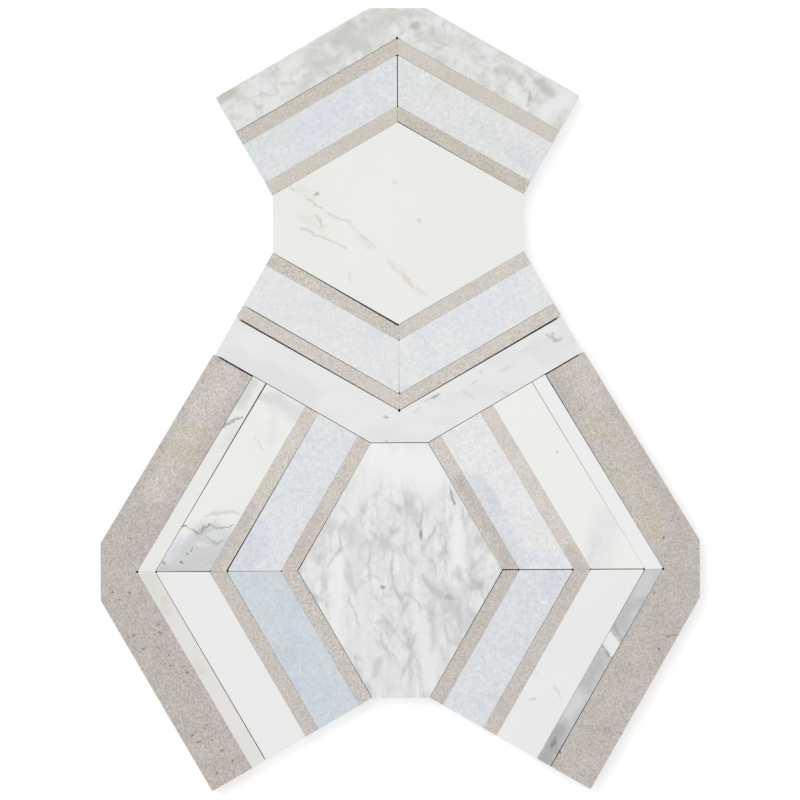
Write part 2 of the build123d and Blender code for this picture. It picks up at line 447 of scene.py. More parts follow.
class StonePaint:
    """A stone material in the making: its coordinates in millimetres and its colour so far."""

    def __init__(self, name, finish):
        self.material = bpy.data.materials.new(name)
        self.graph = blank_graph(self.material)
        self.finish = finish
        self.seed = zlib.crc32(name.encode()) % 1000 / 10
        place = self.graph.node("ShaderNodeTexCoord").outputs["Object"]
        self.mm = self.graph.scale(place, 1 / MM)
        self.colour = linear(finish.tone)

    def blend(self, share, tone):
        """Mixes a share of a tone into the colour."""
        self.colour = self.graph.mix(share, self.colour, linear(tone))

    def shade(self, value, swing):
        """Multiplies the colour by 1 plus or minus half the swing, as the value goes from 0 to 1."""
        level = self.graph.math("ADD", self.graph.math("MULTIPLY", value, swing), 1 - swing / 2)
        tint = self.graph.node("ShaderNodeCombineColor", {0: level, 1: level, 2: level}).outputs[0]
        self.colour = self.graph.mix(1.0, self.colour, tint, "MULTIPLY")

    def clouds(self):
        """Lays on the soft patches, one layer after another."""
        graph = self.graph
        for number, layer in enumerate(self.finish.clouds):
            low, high = layer.span
            place = graph.vector("MULTIPLY", self.mm, layer.stretch)
            seed = self.seed + CLOUD_SEED * number
            mask = graph.group(CLOUDS, Vector=place, Scale=layer.scale, Low=low, High=high, Seed=seed)["Mask"]
            self.blend(graph.math("MULTIPLY", mask, layer.share), layer.tone)

    def streaks(self):
        """Lays on the smoky streaks, each layer with waves and cells of its own."""
        graph = self.graph
        scale, amount = CLOUD_WAVES
        for number, layer in enumerate(self.finish.streaks):
            wavy = graph.group(
                WAVY, Vector=self.mm, Flow=self.mm, Scale=scale, Amount=amount,
                Seed=self.seed + WAVE_SEED * number,
            )["Vector"]
            place = graph.vector("MULTIPLY", wavy, layer.stretch)
            mask = graph.group(
                STREAKS, Vector=place, Scale=layer.scale, Width=layer.span[1],
                Seed=self.seed + STREAK_SEED * number,
            )["Mask"]
            self.blend(graph.math("MULTIPLY", mask, layer.share), layer.tone)

    def marks(self):
        """Lays the stone's marks on. A mark's mask is the greatest of its strokes' masks, with noise added so
        that it frays, and it eases in over a span. The mark's fade scales the noise and the span."""
        graph = self.graph
        if not self.finish.marks:
            return
        flow = graph.vector("MULTIPLY", self.mm, self.finish.flow)
        kinds = []
        for (scale, amount), (wear_scale, depth) in ((VEIN_WAVES, VEIN_WEAR), (CLOUD_WAVES, CLOUD_WEAR)):
            place = graph.group(
                WAVY, Vector=self.mm, Flow=flow, Scale=scale, Amount=amount, Seed=self.seed
            )["Vector"]
            rough = graph.noise(flow, wear_scale, detail=4.0, roughness=0.62, seed=self.seed)[0]
            wear = graph.math("MULTIPLY", graph.math("SUBTRACT", rough, 0.5), depth)
            kinds.append((place, wear, depth / 4))
        for mark in self.finish.marks:
            cloud = max(mark.widths) >= CLOUD_WIDTH
            place, wear, low = kinds[cloud]
            bends = bent_strokes(mark.line)
            taper = VEIN_TAPER if len(bends) == 1 and len(mark.line) > 1 and not cloud else 0.0
            stops = np.linspace(mark.widths[0], mark.widths[-1], len(bends) + 1).tolist()
            mask = 0.0
            for (start, end, bend), from_width, to_width in zip(bends, stops, stops[1:]):
                stroke = graph.group(
                    STROKE, Vector=place, Start=start, End=end, Bend=bend,
                    Start_Width=from_width, End_Width=to_width, Taper=taper,
                )
                mask = graph.math("MAXIMUM", stroke["Mask"], mask)
            worn = graph.math("ADD", mask, graph.math("MULTIPLY", wear, mark.fade))
            worn = graph.ease(worn, low * mark.fade, FULL_MASK * mark.fade, 0.0, mark.strength)
            self.blend(worn, mark.tone)

    def grain(self, scale):
        """Shades the colour by its crystal grain."""
        value = self.graph.group(GRAIN, Vector=self.mm, Scale=scale, Seed=self.seed)["Value"]
        self.shade(value, self.finish.grain)

    def mottle(self, scale, swing):
        """Shades the colour by fractal noise."""
        seed = self.seed + MOTTLE_SEED
        self.shade(self.graph.noise(self.mm, scale, detail=3.0, roughness=0.65, seed=seed)[0], swing)

    def specks(self, scale, radius, share, strength, tone, seed):
        """Lays on scattered specks and gives back their mask."""
        mask = self.graph.group(
            SPECKS, Vector=self.mm, Scale=scale, Radius=radius, Share=share, Seed=self.seed + seed
        )["Mask"]
        self.blend(self.graph.math("MULTIPLY", mask, strength), tone)
        return mask

    def finished(self, level, spread, bump, pits=None):
        """Closes the material: a duller sawn wall, drifting roughness, and bump from face, saw and pits."""
        graph = self.graph
        sawn = graph.group(SAWN, Vector=self.mm, Face=FACE_MM)
        colour = graph.mix(graph.math("MULTIPLY", sawn["Mask"], WALL_SHARE), self.colour, linear(WALL_TONE))
        honed = graph.group(HONED, Vector=self.mm, Level=level, Spread=spread, Sawn=sawn["Mask"])
        height = graph.math("ADD", honed["Height"], graph.math("MULTIPLY", sawn["Height"], SAW_HEIGHT))
        if pits is not None:
            height = graph.math("SUBTRACT", height, graph.math("MULTIPLY", pits, PIT_HEIGHT))
        normal = graph.node("ShaderNodeBump", {"Strength": bump, "Distance": BUMP_MM * MM, "Height": height})
        shader = graph.node(
            "ShaderNodeBsdfPrincipled",
            {
                "Base Color": colour,
                "Roughness": honed["Roughness"],
                "Normal": normal.outputs["Normal"],
                "Specular IOR Level": STONE_SPECULAR,
            },
        )
        graph.node("ShaderNodeOutputMaterial", {"Surface": shader.outputs[0]})
        return self.material


def marble(name, finish):
    """White, cream, grey or veined marble: clouds, streaks, listed marks and a faint grain."""
    paint = StonePaint(name, finish)
    paint.clouds()
    paint.streaks()
    paint.marks()
    paint.grain(scale=1.2)
    return paint.finished(level=0.42, spread=0.25, bump=0.15)


def blue_marble(name, finish):
    """Pale blue crystalline marble: drifting clouds, mottled crystals, and scattered near-white specks
    painted into the colour as painted glints of its crystals.
    """
    paint = StonePaint(name, finish)
    paint.clouds()
    paint.marks()
    paint.mottle(scale=0.35, swing=finish.grain)
    paint.grain(scale=1.0)
    # Painted glints: near-white specks in the base colour stand in for the sparkle of crystal faces
    painted_glint_strength = finish.specks
    paint.specks(scale=0.2, radius=0.13, share=0.3, strength=painted_glint_strength, tone=(250, 251, 251), seed=7)
    paint.specks(scale=0.4, radius=0.2, share=0.3, strength=painted_glint_strength / 2, tone=(240, 243, 245), seed=11)
    return paint.finished(level=0.36, spread=0.35, bump=0.3)


def limestone(name, finish):
    """Taupe limestone: pinkish and olive drifts, sandy grain, pale shell flecks and brown pits."""
    paint = StonePaint(name, finish)
    paint.clouds()
    paint.marks()
    paint.mottle(scale=0.45, swing=finish.grain * 0.3)
    paint.grain(scale=1.8)
    dark = finish.specks
    paint.specks(scale=0.4, radius=0.22, share=0.3, strength=0.3, tone=(224, 217, 208), seed=13)
    paint.specks(scale=0.35, radius=0.16, share=0.4, strength=dark, tone=(150, 138, 126), seed=19)
    holes = paint.specks(scale=0.13, radius=0.08, share=0.5, strength=dark, tone=(110, 96, 86), seed=17)
    return paint.finished(level=0.62, spread=0.25, bump=0.35, pits=holes)


# One finish for each stone

CREAM = (235, 236, 231)
WHITE = (235, 235, 235)
VEIN_GREY = (182, 182, 184)
VEIN_DARK = (146, 146, 148)
PIT_RADIUS = 1.4
PIT_TONE = (104, 90, 81)
PIT_STRENGTH = 0.75


def spot(place, radius, tone, strength):
    """A mark of one point."""
    return Mark((place,), (radius,), tone, strength)


CREAM_MARKS = (
    Mark(((300, 190), (330, 212), (368, 246)), (4.6,), (227, 225, 219), 0.75),
    Mark(((304, 218), (322, 228)), (4.8, 4.4), (228, 224, 215), 0.7),
    Mark(((390, 262), (420, 292)), (4.4,), (229, 227, 221), 0.6),
    spot((316, 194), 2.9, (153, 140, 136), 0.62),
    Mark(((307, 199), (314, 203), (322, 209)), (1.7, 1.3), (173, 158, 141), 0.58),
    Mark(((324, 211), (336, 217), (350, 222)), (1.8, 1.7), (193, 188, 179), 0.47),
    Mark(((346, 222), (355, 229), (365, 239)), (1.4, 1.8), (189, 170, 141), 0.51),
    Mark(((365, 239), (378, 249)), (2.2, 1.7), (213, 208, 198), 0.39),
    Mark(((312, 217), (320, 220), (321, 226)), (2.0, 2.4), (199, 176, 126), 0.55),
    Mark(((303, 228), (318, 235), (332, 241), (346, 248)), (1.7, 1.1), (188, 183, 174), 0.47),
    Mark(((388, 262), (402, 276)), (2.2, 1.8), (215, 209, 199), 0.35),
    Mark(((402, 274), (413, 286)), (2.5,), (208, 192, 174), 0.47),
    Mark(((416, 288), (432, 300)), (1.8, 1.1), (208, 204, 194), 0.39),
    spot((395, 182), 2.2, (198, 195, 184), 0.47),
    spot((420, 220), 2.5, (193, 192, 180), 0.51),
    Mark(((348, 273), (352, 281)), (2.5, 1.8), (218, 210, 201), 0.39),
    Mark(((290, 188), (296, 191)), (1.4, 1.0), (193, 188, 178), 0.47),
    Mark(((285, 210), (290, 224)), (7.2,), (233, 233, 235), 0.55),
)

VEINED_MARKS = (
    Mark(((360, 640), (395, 690)), (16.8,), (224, 224, 224), 0.7),
    Mark(((375, 452), (425, 470)), (28.8, 31.2), (239, 239, 239), 1.0),
    Mark(((350, 508), (366, 484)), (12.0,), (235, 235, 235), 0.8),
    Mark(((337, 560), (336, 640)), (8.4, 9.6), (237, 237, 237), 0.95),
    Mark(((456, 518), (456, 566)), (7.2, 7.8), (238, 238, 238), 0.95),
    Mark(((421, 618), (432, 688)), (7.2, 9.6), (234, 234, 234), 0.9),
    Mark(((365, 588), (362, 650)), (6.0, 6.6), (229, 229, 229), 0.8),
    Mark(((343, 546), (335, 556), (327, 567)), (1.6, 2.5), VEIN_GREY, 0.52),
    Mark(((351, 566), (350, 578), (354, 590)), (4.5, 3.6), VEIN_GREY, 0.42),
    Mark(((371, 531), (382, 545), (384, 560)), (3.6, 2.9), VEIN_GREY, 0.42),
    Mark(((390, 527), (391, 534)), (2.6, 2.9), VEIN_GREY, 0.52),
    Mark(((420, 531), (420, 541)), (3.1, 1.8), VEIN_DARK, 0.85),
    Mark(((421, 545), (417, 556), (411, 562)), (1.8,), VEIN_GREY, 0.45),
    Mark(((403, 546), (409, 558)), (2.2, 1.6), VEIN_GREY, 0.45),
    Mark(((362, 509), (370, 511), (377, 521)), (2.0,), VEIN_GREY, 0.38),
    Mark(((340, 506), (349, 514)), (3.9, 3.2), VEIN_GREY, 0.34),
    Mark(((450, 484), (451, 495), (455, 504)), (1.4, 2.1), VEIN_DARK, 0.85),
    Mark(((445, 522), (446, 545), (440, 562)), (3.9, 3.2), VEIN_GREY, 0.34),
    Mark(((424, 577), (432, 588), (440, 594)), (3.2, 4.9), VEIN_GREY, 0.52),
    Mark(((445, 597), (455, 598)), (3.6, 2.3), VEIN_DARK, 0.8),
    Mark(((441, 596), (445, 612)), (5.2, 4.5), VEIN_GREY, 0.34),
    Mark(((457, 570), (461, 580)), (4.5,), VEIN_GREY, 0.45),
    Mark(((472, 570), (480, 561), (492, 578)), (3.2, 3.6), VEIN_GREY, 0.45),
    Mark(((466, 590), (480, 585)), (4.2, 2.9), VEIN_GREY, 0.34),
    Mark(((457, 610), (463, 629)), (4.5, 4.2), VEIN_GREY, 0.42),
    Mark(((365, 576), (376, 576), (382, 585)), (2.1,), VEIN_GREY, 0.42),
    spot((383, 587), 2.2, VEIN_DARK, 0.8),
    Mark(((406, 594), (415, 600), (421, 606)), (2.0, 2.6), VEIN_GREY, 0.48),
    Mark(((428, 619), (434, 634), (443, 660)), (3.1, 2.5), VEIN_GREY, 0.58),
    Mark(((382, 616), (392, 629), (404, 644)), (3.1, 2.5), VEIN_GREY, 0.42),
    Mark(((402, 624), (405, 632)), (4.2, 3.9), VEIN_GREY, 0.31),
    Mark(((381, 634), (386, 648), (396, 656)), (3.2, 3.6), VEIN_GREY, 0.48),
    Mark(((378, 662), (374, 676)), (5.5, 4.2), VEIN_GREY, 0.48),
    Mark(((376, 623), (385, 622)), (3.6, 3.2), VEIN_GREY, 0.34),
    Mark(((412, 654), (410, 670), (411, 686)), (3.2, 2.1), VEIN_GREY, 0.34),
    Mark(((414, 664), (420, 678), (424, 697)), (2.6,), VEIN_GREY, 0.38),
    Mark(((354, 656), (361, 660)), (2.9, 2.1), VEIN_GREY, 0.42),
    Mark(((365, 682), (371, 694)), (3.9, 3.2), VEIN_GREY, 0.45),
    Mark(((317, 577), (326, 587), (317, 597)), (2.0,), VEIN_GREY, 0.34),
    Mark(((320, 533), (312, 556)), (7.2,), (203, 203, 205), 0.5),
    Mark(((350, 528), (364, 560)), (8.4,), (204, 204, 206), 0.45),
    Mark(((445, 590), (470, 622)), (9.6,), (200, 200, 202), 0.5),
)

CLOUDY_MARKS = (
    Mark(((388, 20), (345, 46), (312, 64)), (14.4, 12.0), (202, 204, 197), 0.64),
    Mark(((350, 26), (338, 40)), (7.2, 6.0), (190, 192, 184), 0.68),
    spot((415, 25), 5.4, (174, 176, 169), 0.9),
    Mark(((335, 60), (315, 66)), (6.0, 4.8), (194, 196, 188), 0.59),
    Mark(((222, 100), (232, 92)), (6.0,), (180, 182, 174), 0.72),
    Mark(((300, 88), (312, 78)), (4.8,), (200, 202, 194), 0.59),
    spot((440, 60), 5.4, (194, 196, 190), 0.59),
    Mark(((440, 36), (468, 44)), (6.0, 4.8), (198, 200, 194), 0.4),
    Mark(((500, 70), (520, 78)), (6.0, 4.8), (192, 194, 186), 0.59),
    Mark(((538, 82), (552, 94)), (6.0, 5.4), (184, 186, 178), 0.72),
    Mark(((530, 90), (527, 106)), (1.6,), (150, 150, 150), 0.64),
    spot((395, 30), 6.0, (234, 234, 233), 0.77),
    spot((438, 20), 6.0, (232, 232, 232), 0.68),
    Mark(((328, 47), (334, 52)), (4.4,), (228, 228, 230), 0.7),
    Mark(((350, 40), (366, 50)), (7.2,), (199, 201, 196), 0.85),
    Mark(((258, 82), (262, 86)), (6.6, 6.0), (230, 230, 233), 0.5),
    Mark(((486, 50), (492, 56)), (6.0,), (232, 232, 235), 0.77),
    Mark(((512, 88), (522, 98)), (7.2,), (233, 234, 228), 0.81),
    Mark(((545, 112), (566, 98)), (10.8,), (233, 233, 233), 1.0),
    Mark(((286, 70), (296, 60)), (8.4, 7.2), (228, 229, 221), 0.77),
    Mark(((455, 52), (466, 62)), (6.0,), (228, 229, 221), 0.68),
    Mark(((238, 108), (250, 112)), (7.2,), (227, 228, 220), 0.45),
)

PALE_MARKS = (
    Mark(((300, 395), (232, 362)), (19.2,), (224, 224, 225), 0.9),
    Mark(((540, 350), (565, 340)), (14.4,), (225, 225, 226), 0.8),
    spot((385, 417), 1.6, (170, 170, 172), 0.8),
    Mark(((430, 399), (441, 393)), (1.6, 1.3), (160, 160, 163), 0.75),
    Mark(((545, 335), (561, 341)), (1.8, 1.6), (188, 188, 190), 0.7),
    Mark(((551, 334), (556, 340)), (1.6, 1.2), (176, 176, 179), 0.7),
    Mark(((552, 342), (562, 337)), (1.5, 1.2), (182, 182, 185), 0.6),
    Mark(((424, 402), (433, 398)), (1.4, 1.2), (196, 196, 198), 0.6),
    Mark(((470, 384), (478, 381)), (1.4, 1.2), (204, 204, 205), 0.6),
    spot((387, 440), 1.4, (175, 175, 175), 0.7),
    spot((437, 427), 1.4, (185, 185, 185), 0.7),
    Mark(((520, 352), (536, 346)), (3.0,), (218, 218, 220), 0.7),
    Mark(((462, 392), (474, 398)), (2.4, 2.0), (216, 216, 217), 0.7),
    Mark(((500, 372), (514, 366)), (2.4, 2.0), (214, 214, 216), 0.6),
    Mark(((412, 412), (422, 408)), (2.4, 2.0), (216, 216, 218), 0.6),
    Mark(((500, 392), (510, 396)), (2.6,), (210, 210, 208), 0.7),
    Mark(((480, 370), (482, 372)), (2.1,), (205, 205, 205), 0.7),
)

LEFT_UPPER_WIDE_MARKS = (
    Mark(((186, 582), (212, 548)), (25.0, 21.0), (205, 207, 208), 0.95, 0.5),
    Mark(((160, 574), (205, 578)), (11.0, 9.0), (196, 197, 195), 0.8),
    Mark(((212, 535), (228, 531)), (6.0,), (220, 221, 221), 0.8),
    Mark(((180, 540), (168, 560)), (5.0,), (216, 219, 224), 0.8),
    Mark(((190, 562), (212, 556)), (5.0, 4.4), (204, 203, 206), 0.8),
    Mark(((176, 548), (186, 546), (200, 548)), (2.4, 2.0), (198, 200, 202), 0.7),
    Mark(((200, 566), (212, 562), (221, 552)), (2.0, 1.8), (196, 196, 195), 0.7),
    Mark(((196, 542), (206, 546)), (3.4, 3.0), (222, 223, 226), 0.8),
    Mark(((181, 525), (188, 527), (197, 534)), (2.0, 2.2), (144, 144, 141), 0.9, 0.7),
    Mark(((196, 534), (203, 529), (210, 523)), (1.6, 1.3), (158, 159, 158), 0.8, 0.8),
    Mark(((209, 523), (220, 528), (234, 524)), (1.4, 1.3), (144, 145, 144), 0.9, 0.7),
    Mark(((199, 536), (206, 531), (216, 528)), (3.6, 2.2), (190, 192, 192), 0.5),
    Mark(((208, 537), (213, 543), (222, 541)), (1.5, 1.7), (144, 146, 150), 0.8),
    Mark(((204, 517), (222, 513), (240, 513)), (2.6, 3.0), (204, 204, 204), 0.7),
    Mark(((193, 546), (190, 552)), (1.3, 1.2), (150, 151, 156), 0.75),
    spot((187, 554), 1.7, (132, 133, 138), 0.8),
    spot((181, 563), 1.9, (126, 127, 130), 0.85),
    spot((162, 562), 2.4, (140, 142, 143), 0.8),
    Mark(((264, 396), (278, 402), (296, 419)), (1.7, 1.5), (176, 177, 178), 0.75, 0.7),
    Mark(((262, 396), (280, 396)), (5.0, 4.8), (212, 212, 204), 0.8),
    Mark(((272, 398), (298, 412)), (9.6,), (220, 219, 220), 0.95),
    Mark(((254, 438), (264, 450)), (1.6, 1.3), (212, 212, 208), 0.6),
    Mark(((275, 412), (272, 440)), (7.2,), (230, 230, 232), 0.9),
)

LEFT_UPPER_NARROW_MARKS = (
    Mark(((221, 429), (231, 422), (243, 418)), (2.6, 2.3), (158, 160, 158), 0.8),
    Mark(((252, 382), (240, 405)), (7.2, 6.0), (216, 216, 211), 1.0),
    Mark(((235, 430), (226, 446)), (6.0,), (226, 224, 221), 0.8),
)

LEFT_LOWER_NARROW_MARKS = (
    Mark(((148, 578), (156, 590)), (7.2, 6.0), (216, 217, 210), 0.8),
    spot((165, 601), 4.7, (214, 206, 188), 0.6),
    Mark(((163, 608), (168, 612)), (4.8,), (211, 212, 208), 0.6),
    Mark(((195, 662), (202, 670)), (4.9,), (216, 210, 196), 0.55),
    Mark(((235, 725), (225, 705)), (6.0,), (230, 225, 222), 0.8),
)

RIGHT_LOWER_WIDE_MARKS = (
    Mark(((553, 686), (558, 692), (562, 699)), (1.7, 1.3), (204, 204, 203), 0.45),
    Mark(((529, 700), (537, 700)), (1.6,), (208, 194, 164), 0.6),
    spot((535, 673), 4.7, (227, 228, 221), 0.6),
)

RIGHT_LOWER_NARROW_MARKS = (
    Mark(((650, 575), (640, 592)), (8.4, 7.2), (206, 206, 206), 0.9),
    Mark(((630, 606), (617, 628)), (6.0, 6.6), (186, 187, 187), 0.9),
    Mark(((606, 636), (618, 652)), (5.4,), (234, 234, 235), 1.0, 0.45),
    Mark(((614, 622), (617, 632), (624, 641)), (1.5,), (160, 161, 163), 0.75),
    Mark(((601, 643), (606, 651), (614, 660)), (1.7,), (122, 122, 124), 0.85),
    Mark(((598, 664), (588, 682)), (7.2,), (184, 185, 185), 0.9),
    Mark(((579, 697), (570, 712)), (7.2,), (213, 212, 213), 0.95),
    Mark(((560, 730), (546, 757)), (8.4, 10.8), (170, 170, 171), 0.95),
    Mark(((556, 738), (551, 748)), (2.9, 3.1), (128, 129, 130), 0.8),
)

RIGHT_UPPER_WIDE_MARKS = (
    Mark(((606, 520), (596, 566)), (16.8, 19.2), (230, 230, 231), 0.95),
    spot((557, 452), 1.6, (158, 154, 140), 0.75),
    Mark(((598, 540), (590, 560)), (6.0, 4.8), (221, 221, 223), 0.7),
)

RIGHT_POINT_MARKS = (
    Mark(((600, 430), (655, 530)), (26.4, 21.6), (198, 191, 184), 0.9),
    Mark(((575, 362), (592, 398)), (19.2, 18.0), (203, 197, 191), 0.9),
    Mark(((590, 428), (614, 438)), (9.6,), (197, 189, 175), 0.85),
    Mark(((615, 480), (640, 488)), (12.0, 9.6), (197, 189, 176), 0.8),
    Mark(((650, 512), (656, 532)), (8.4, 9.6), (194, 186, 170), 0.85),
    Mark(((582, 725), (600, 731), (622, 733)), (1.2,), (130, 118, 106), 0.75),
    Mark(((600, 730), (610, 732)), (5.0,), (176, 175, 164), 0.7),
    Mark(((658, 635), (677, 635)), (1.0,), (140, 128, 116), 0.7),
    Mark(((665, 582), (680, 590)), (6.0, 7.2), (184, 181, 173), 0.7),
)

LEFT_POINT_MARKS = (
    Mark(((226, 378), (185, 440), (158, 492)), (24.0, 15.6), (204, 197, 191), 0.95),
    Mark(((182, 428), (206, 430)), (6.0, 5.4), (194, 186, 170), 0.8),
    Mark(((172, 448), (197, 462)), (9.6, 10.8), (194, 186, 171), 0.8),
    Mark(((178, 482), (186, 486)), (6.0, 4.8), (192, 185, 171), 0.7),
)

TOP_LEFT_BLUE_MARKS = (
    Mark(((302, 132), (345, 108)), (13.2, 12.0), (213, 219, 227), 0.8),
    Mark(((252, 148), (280, 138)), (7.2, 8.4), (214, 221, 219), 0.7),
    Mark(((260, 168), (270, 174)), (7.2,), (224, 223, 225), 0.8),
    Mark(((350, 100), (362, 94)), (6.0, 7.2), (218, 224, 221), 0.7),
    Mark(((386, 78), (392, 68)), (8.4,), (213, 220, 228), 0.7),
    Mark(((360, 105), (364, 112)), (1.3, 1.0), (238, 238, 234), 0.8),
)

TOP_RIGHT_BLUE_MARKS = (
    Mark(((404, 72), (410, 92)), (9.6,), (214, 222, 222), 0.8),
    Mark(((480, 124), (494, 142)), (8.4, 7.2), (213, 221, 218), 0.8),
    Mark(((512, 148), (530, 166)), (11.0, 10.0), (214, 219, 224), 0.7),
    Mark(((438, 84), (430, 100)), (2.6, 2.9), (212, 212, 192), 0.7),
    Mark(((421, 72), (424, 79)), (1.0,), (242, 242, 240), 0.7),
)

LEFT_UPPER_BLUE_MARKS = (
    Mark(((238, 568), (256, 542)), (18.0, 15.6), (212, 216, 223), 0.95),
    Mark(((318, 425), (326, 432)), (6.0,), (228, 227, 224), 0.7),
)

LEFT_LOWER_BLUE_MARKS = (
    Mark(((280, 650), (292, 658)), (6.0, 7.2), (198, 205, 211), 0.8),
    Mark(((296, 680), (300, 690)), (7.2,), (196, 204, 218), 0.7),
    Mark(((290, 634), (296, 638)), (6.0,), (199, 206, 221), 0.7),
)

RIGHT_UPPER_BLUE_MARKS = (
    Mark(((476, 482), (498, 525), (520, 562)), (11.5, 12.5), (213, 218, 223), 0.9),
    Mark(((488, 490), (494, 506)), (4.8,), (206, 213, 219), 0.7),
    Mark(((535, 556), (550, 562)), (10.8, 8.4), (218, 223, 229), 0.8),
    Mark(((530, 530), (545, 550)), (7.2,), (232, 230, 226), 0.7),
)

RIGHT_LOWER_BLUE_MARKS = (
    Mark(((556, 576), (545, 582)), (9.6,), (211, 216, 223), 0.85),
    Mark(((536, 598), (548, 604)), (1.6, 1.3), (238, 240, 240), 0.8),
)

WAIST_LEFT_BLUE_MARKS = (
    Mark(((386, 322), (370, 334)), (10.8,), (219, 223, 227), 0.9),
    Mark(((258, 236), (272, 244)), (9.6,), (219, 223, 226), 0.9),
)


def white(tone, marks=(), cloud=(230, 230, 231)):
    """A white strip: nearly even, with a faint cloud."""
    return Finish(tone, (Layer(cloud, share=0.5, scale=0.03),), marks=marks, grain=0.012)


# The sparkle strength sets how strongly the painted glints show as near-white specks
def blue(tone, cloud, marks=(), grain=0.2, painted_sparkle=0.75):
    """A blue strip: two tones in drifting patches, and the strength of its painted glints."""
    drift = Layer(cloud, share=0.9, scale=0.07, span=(0.38, 0.62))
    return Finish(tone, (drift,), marks=marks, grain=grain, specks=painted_sparkle)


def taupe(tone, cloud, grain, marks=(), specks=0.45):
    """A taupe stone: two tones in drifting patches."""
    drift = Layer(cloud, share=0.9, scale=0.06, span=(0.4, 0.6))
    return Finish(tone, (drift,), marks=marks, grain=grain, specks=specks)


def pits(*places):
    """Brown pits in a limestone, each as one spot."""
    return tuple(spot(place, PIT_RADIUS, PIT_TONE, PIT_STRENGTH) for place in places)


def dark_end(line, widths, tone):
    """The darker part of a taupe strip, as its only mark."""
    return (Mark(line, widths, tone, 0.95),)


UPRIGHT = (1.0, 0.24, 1.0)
SLANTED = (0.7, 0.5, 1.0)
MARBLES = {
    "upper_hexagon": Finish(CREAM, (Layer((231, 232, 226), 0.6, 0.02),), marks=CREAM_MARKS, grain=0.01),
    "lower_hexagon": Finish(
        (236, 236, 236),
        (Layer((226, 226, 227), 0.5, 0.1, (0.4, 0.68), UPRIGHT),),
        (
            Layer((203, 203, 205), 0.6, 0.1, (0.0, 0.3), (1.0, 0.3, 1.0)),
            Layer((202, 202, 204), 0.5, 0.24, (0.0, 0.4), (1.0, 0.45, 1.0)),
            Layer((186, 186, 188), 0.75, 0.12, (0.0, 0.14), (1.0, 0.4, 1.0)),
            Layer((194, 194, 196), 0.4, 0.22, (0.0, 0.16), (1.0, 0.45, 1.0)),
        ),
        VEINED_MARKS,
        flow=(1.3, 0.4, 1.0),
    ),
    "top_chevron": Finish(
        (225, 226, 222),
        (
            Layer((231, 231, 231), 0.7, 0.15, (0.46, 0.6)),
            Layer((206, 208, 202), 0.7, 0.09, (0.45, 0.66)),
        ),
        (
            Layer((203, 205, 199), 0.8, 0.12, (0.0, 0.42)),
            Layer((190, 192, 186), 0.7, 0.17, (0.0, 0.2)),
            Layer((233, 233, 233), 0.6, 0.15, (0.0, 0.22)),
        ),
        CLOUDY_MARKS,
        grain=0.02,
    ),
    "waist_chevron": Finish(
        (232, 232, 232),
        (Layer((225, 225, 226), 0.7, 0.05, (0.42, 0.66), (0.7, 2.0, 1.0)),),
        marks=PALE_MARKS,
    ),
    "left_upper_wide_white": white((236, 237, 232), LEFT_UPPER_WIDE_MARKS, (233, 234, 229)),
    "left_lower_wide_white": white(WHITE, cloud=(234, 234, 230)),
    "right_upper_wide_white": white((238, 239, 234), RIGHT_UPPER_WIDE_MARKS, (236, 237, 232)),
    "right_lower_wide_white": white(WHITE, RIGHT_LOWER_WIDE_MARKS),
    "left_upper_narrow_white": white((233, 233, 229), LEFT_UPPER_NARROW_MARKS, (230, 229, 226)),
    "left_lower_narrow_white": white((226, 225, 221), LEFT_LOWER_NARROW_MARKS, (221, 221, 216)),
    "right_upper_narrow_white": white((238, 238, 238), cloud=(235, 235, 235)),
    "right_lower_narrow_white": Finish(
        (200, 200, 201),
        (Layer((190, 191, 192), 0.7, 0.22, (0.4, 0.64), SLANTED),),
        (
            Layer((176, 177, 179), 0.55, 0.3, (0.0, 0.25), SLANTED),
            Layer((216, 216, 217), 0.5, 0.26, (0.0, 0.3)),
        ),
        RIGHT_LOWER_NARROW_MARKS,
        grain=0.04,
    ),
}

BLUES = {
    "top_left_blue": blue((220, 223, 224), (217, 221, 224), TOP_LEFT_BLUE_MARKS),
    "top_right_blue": blue((224, 224, 224), (221, 223, 223), TOP_RIGHT_BLUE_MARKS),
    "waist_left_blue": blue((228, 228, 228), (225, 226, 227), WAIST_LEFT_BLUE_MARKS, grain=0.15),
    "waist_right_blue": blue((228, 229, 229), (221, 225, 230), grain=0.18),
    "left_upper_blue": blue((222, 225, 228), (218, 223, 227), LEFT_UPPER_BLUE_MARKS, painted_sparkle=1.0),
    "left_lower_blue": blue((207, 214, 220), (203, 211, 218), LEFT_LOWER_BLUE_MARKS),
    "right_upper_blue": blue((231, 231, 231), (229, 229, 232), RIGHT_UPPER_BLUE_MARKS, painted_sparkle=0.4),
    "right_lower_blue": blue((219, 223, 226), (216, 220, 224), RIGHT_LOWER_BLUE_MARKS, grain=0.22),
}

